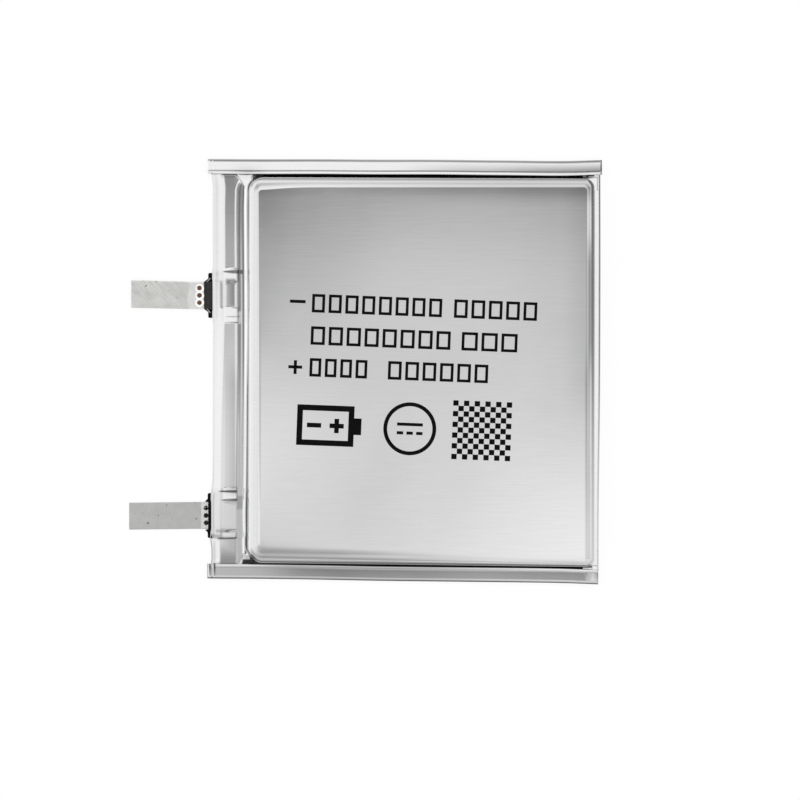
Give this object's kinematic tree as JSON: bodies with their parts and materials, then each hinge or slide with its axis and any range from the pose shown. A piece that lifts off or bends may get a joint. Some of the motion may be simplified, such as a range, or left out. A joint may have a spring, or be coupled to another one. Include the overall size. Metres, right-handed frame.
{
  "type": "pouch battery cell",
  "caption": "Thin primary lithium pouch cell with a drawn foil cup, folded side seals and two spot-welded nickel tabs that bend for wiring.",
  "frame": {"origin": "middle of the flat back face, between the terrace edge and the folded end and between the two hems", "axes": "+Z out of the cell's face, +X from the tabs towards the folded end, +Y from the positive tab towards the negative tab"},
  "size_m": [0.0508, 0.046, 0.0022],
  "materials": {
    "laminate": "satin laminated film",
    "sealant": "black melted film",
    "aluminium_lead": "crimped matt",
    "nickel_lead": "satin nickel plate",
    "nickel_strip": "satin, finely brushed nickel",
    "burnt_weld": "brown weld spot",
    "dark_weld": "dark weld pit",
    "insulating_tape": "clear amber tape",
    "copper_foil": "copper foil",
    "lithium": "soft grey metal foil",
    "aluminium_grid": "expanded grid",
    "cathode_mix": "pressed black powder",
    "separator": "white porous film"
  },
  "bodies": {
    "cell": {"pouch_front_film": "laminate", "pouch_back_film": "laminate", "negative_sealant_front": "sealant", "negative_sealant_back": "sealant", "positive_sealant_front": "sealant", "positive_sealant_back": "sealant", "negative_lead": "nickel_lead", "positive_lead": "aluminium_lead", "negative_strip_root": "nickel_strip", "positive_strip_root": "nickel_strip", "negative_welds": "burnt_weld", "positive_welds": "dark_weld", "negative_ear_tape_front": "insulating_tape", "negative_ear_tape_back": "insulating_tape", "positive_ear_tape_front": "insulating_tape", "positive_ear_tape_back": "insulating_tape", "stack_tape_end": "insulating_tape", "stack_tape_upper_side": "insulating_tape", "stack_tape_lower_side": "insulating_tape", "anode_foil_1": "copper_foil", "anode_foil_2": "copper_foil", "anode_foil_3": "copper_foil", "anode_foil_4": "copper_foil", "anode_lithium_1": "lithium", "anode_lithium_2": "lithium", "anode_lithium_3": "lithium", "anode_lithium_4": "lithium", "cathode_grid_1": "aluminium_grid", "cathode_grid_2": "aluminium_grid", "cathode_grid_3": "aluminium_grid", "cathode_mix_1": "cathode_mix", "cathode_mix_2": "cathode_mix", "cathode_mix_3": "cathode_mix", "separator_1": "separator", "separator_2": "separator", "separator_3": "separator", "separator_4": "separator", "separator_5": "separator", "separator_6": "separator"},
    "negative_tab": {"negative_strip": "nickel_strip"},
    "positive_tab": {"positive_strip": "nickel_strip"}
  },
  "joints": [
    {"name": "negative_tab_bend", "type": "hinge", "parent": "cell", "child": "negative_tab", "pos_m": [-0.0238, 0.00825, 0.00031], "axis": [0, 1, 0], "range_deg": [-90, 90]},
    {"name": "positive_tab_bend", "type": "hinge", "parent": "cell", "child": "positive_tab", "pos_m": [-0.0225, -0.01575, 0.00011], "axis": [0, 1, 0], "range_deg": [-90, 90]}
  ]
}
